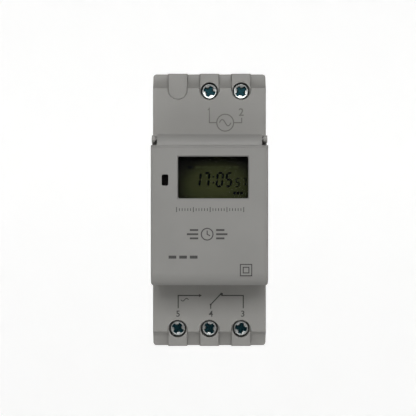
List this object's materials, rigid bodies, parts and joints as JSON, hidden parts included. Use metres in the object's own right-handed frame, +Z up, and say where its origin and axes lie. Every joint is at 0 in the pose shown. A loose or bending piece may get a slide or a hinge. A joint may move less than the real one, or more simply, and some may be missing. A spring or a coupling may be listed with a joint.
{
  "type": "din rail timer",
  "caption": "Two-module rail-mounted digital time switch with a hinged flap over its display and keys, screw terminals at both ends and a sprung rail latch.",
  "frame": {"origin": "middle of the 35 mm rail's front plane, halfway up the case", "axes": "+Z up the case, +X to the right as the front is looked at, the front faces -Y"},
  "size_m": [0.0356, 0.0661, 0.0886],
  "materials": {
    "housing_grey": "fine matt moulded plastic",
    "flap_grey": "fine matt moulded plastic",
    "clear_window": "clear acrylic",
    "smoked_lens": "smoked light pipe",
    "lamp_epoxy": "diffused epoxy",
    "silicone": "moulded silicone",
    "lcd_glass": "reflective display glass",
    "black_plastic": "black moulded plastic",
    "circuit_board": "green solder mask",
    "zinc_steel": "zinc plated",
    "screw_zinc": "zinc plated, bright",
    "bright_metal": "nickel plated",
    "ceramic_parts": "ceramic chips",
    "ribbon_grey": "ribbon insulation",
    "white_plastic": "white connector",
    "relay_blue": "moulded case",
    "copper_winding": "enamelled winding",
    "terminal_brass": "tinned brass",
    "capacitor_yellow": "boxed film capacitor",
    "capacitor_sleeve": "shrink sleeve",
    "varistor_blue": "epoxy dipped disc",
    "resistor_body": "painted ceramic",
    "latch_grey": "dark moulded plastic",
    "spring_steel": "bright wire",
    "key_plastic": "moulded keys",
    "label_film": "blank printed film"
  },
  "bodies": {
    "case": {"backup_battery": "bright_metal", "battery_clip": "bright_metal", "board_screws": "zinc_steel", "clock_crystal": "bright_metal", "control_board": "circuit_board", "control_parts": "ceramic_parts", "controller_chip": "black_plastic", "display_lens": "clear_window", "dropper_capacitor": "capacitor_yellow", "front_housing": "housing_grey", "keypad_mat": "silicone", "lamp_pipe": "smoked_lens", "latch_spring": "spring_steel", "lcd_connector": "silicone", "lcd_holder": "black_plastic", "lcd_panel": "lcd_glass", "power_board": "circuit_board", "power_resistors": "resistor_body", "rear_base": "housing_grey", "rectifier_diodes": "black_plastic", "relay_base": "relay_blue", "relay_coil": "copper_winding", "relay_contacts": "terminal_brass", "relay_cover": "relay_blue", "relay_yoke": "zinc_steel", "ribbon_cable": "ribbon_grey", "ribbon_sockets": "white_plastic", "side_label": "label_film", "smoothing_capacitors": "capacitor_sleeve", "status_lamp": "lamp_epoxy", "surge_varistor": "varistor_blue", "terminal_bar_1": "terminal_brass", "terminal_bar_2": "terminal_brass", "terminal_bar_3": "terminal_brass", "terminal_bar_4": "terminal_brass", "terminal_bar_5": "terminal_brass"},
    "cage_1": {"clamp_cage_1": "zinc_steel"},
    "cage_2": {"clamp_cage_2": "zinc_steel"},
    "cage_3": {"clamp_cage_3": "zinc_steel"},
    "cage_4": {"clamp_cage_4": "zinc_steel"},
    "cage_5": {"clamp_cage_5": "zinc_steel"},
    "flap": {"flap_cover": "flap_grey"},
    "button_clock": {"key_clock": "key_plastic"},
    "button_day": {"key_day": "key_plastic"},
    "button_hour": {"key_hour": "key_plastic"},
    "button_manual": {"key_manual": "key_plastic"},
    "button_minute": {"key_minute": "key_plastic"},
    "button_program": {"key_program": "key_plastic"},
    "button_recall": {"key_recall": "key_plastic"},
    "latch": {"rail_latch": "latch_grey"},
    "armature": {"relay_armature": "zinc_steel"},
    "screw_1": {"terminal_screw_1": "screw_zinc"},
    "screw_2": {"terminal_screw_2": "screw_zinc"},
    "screw_3": {"terminal_screw_3": "screw_zinc"},
    "screw_4": {"terminal_screw_4": "screw_zinc"},
    "screw_5": {"terminal_screw_5": "screw_zinc"}
  },
  "joints": [
    {"name": "flap_hinge", "type": "hinge", "parent": "case", "child": "flap", "pos_m": [0, -0.0579, 0.02145], "axis": [-1, 0, 0], "range_deg": [0, 110]},
    {"name": "key_clock_press", "type": "slide", "parent": "case", "child": "button_clock", "axis": [0, 1, 0], "range_m": [0, 0.0006], "stiffness_N_per_m": 1200, "springref_m": -0.0004, "deforming": ["keypad_mat"]},
    {"name": "key_day_press", "type": "slide", "parent": "case", "child": "button_day", "axis": [0, 1, 0], "range_m": [0, 0.0006], "stiffness_N_per_m": 1200, "springref_m": -0.0004, "deforming": ["keypad_mat"]},
    {"name": "key_hour_press", "type": "slide", "parent": "case", "child": "button_hour", "axis": [0, 1, 0], "range_m": [0, 0.0006], "stiffness_N_per_m": 1200, "springref_m": -0.0004, "deforming": ["keypad_mat"]},
    {"name": "key_manual_press", "type": "slide", "parent": "case", "child": "button_manual", "axis": [0, 1, 0], "range_m": [0, 0.0006], "stiffness_N_per_m": 1200, "springref_m": -0.0004, "deforming": ["keypad_mat"]},
    {"name": "key_minute_press", "type": "slide", "parent": "case", "child": "button_minute", "axis": [0, 1, 0], "range_m": [0, 0.0006], "stiffness_N_per_m": 1200, "springref_m": -0.0004, "deforming": ["keypad_mat"]},
    {"name": "key_program_press", "type": "slide", "parent": "case", "child": "button_program", "axis": [0, 1, 0], "range_m": [0, 0.0006], "stiffness_N_per_m": 1200, "springref_m": -0.0004, "deforming": ["keypad_mat"]},
    {"name": "key_recall_press", "type": "slide", "parent": "case", "child": "button_recall", "axis": [0, 1, 0], "range_m": [0, 0.0006], "stiffness_N_per_m": 1200, "springref_m": -0.0004, "deforming": ["keypad_mat"]},
    {"name": "screw_1_turn", "type": "hinge", "parent": "case", "child": "screw_1", "pos_m": [0, -0.0315, 0.0375], "axis": [0, 1, 0], "range_deg": [0, 2161]},
    {"name": "cage_1_rise", "type": "slide", "parent": "case", "child": "cage_1", "axis": [0, -1, 0], "range_m": [0, 0.0036]},
    {"name": "screw_2_turn", "type": "hinge", "parent": "case", "child": "screw_2", "pos_m": [0.01, -0.0315, 0.0375], "axis": [0, 1, 0], "range_deg": [0, 2161]},
    {"name": "cage_2_rise", "type": "slide", "parent": "case", "child": "cage_2", "axis": [0, -1, 0], "range_m": [0, 0.0036]},
    {"name": "screw_3_turn", "type": "hinge", "parent": "case", "child": "screw_3", "pos_m": [0.01, -0.0315, -0.0375], "axis": [0, 1, 0], "range_deg": [0, 2161]},
    {"name": "cage_3_rise", "type": "slide", "parent": "case", "child": "cage_3", "axis": [0, -1, 0], "range_m": [0, 0.0036]},
    {"name": "screw_4_turn", "type": "hinge", "parent": "case", "child": "screw_4", "pos_m": [0, -0.0315, -0.0375], "axis": [0, 1, 0], "range_deg": [0, 2161]},
    {"name": "cage_4_rise", "type": "slide", "parent": "case", "child": "cage_4", "axis": [0, -1, 0], "range_m": [0, 0.0036]},
    {"name": "screw_5_turn", "type": "hinge", "parent": "case", "child": "screw_5", "pos_m": [-0.01, -0.0315, -0.0375], "axis": [0, 1, 0], "range_deg": [0, 2161]},
    {"name": "cage_5_rise", "type": "slide", "parent": "case", "child": "cage_5", "axis": [0, -1, 0], "range_m": [0, 0.0036]},
    {"name": "latch_pull", "type": "slide", "parent": "case", "child": "latch", "axis": [0, 0, -1], "range_m": [0, 0.004], "stiffness_N_per_m": 400, "springref_m": -0.004, "deforming": ["latch_spring"]},
    {"name": "armature_rock", "type": "hinge", "parent": "case", "child": "armature", "pos_m": [-0.00845, -0.0203, -0.00195], "axis": [1, 0, 0], "range_deg": [0, 2.6], "stiffness_Nm_per_rad": 0.02, "springref_deg": -8.59}
  ],
  "couplings": [
    {"joint": "screw_1_turn", "follows": "cage_1_rise", "rad_per_m": 10472},
    {"joint": "screw_2_turn", "follows": "cage_2_rise", "rad_per_m": 10472},
    {"joint": "screw_3_turn", "follows": "cage_3_rise", "rad_per_m": 10472},
    {"joint": "screw_4_turn", "follows": "cage_4_rise", "rad_per_m": 10472},
    {"joint": "screw_5_turn", "follows": "cage_5_rise", "rad_per_m": 10472}
  ]
}
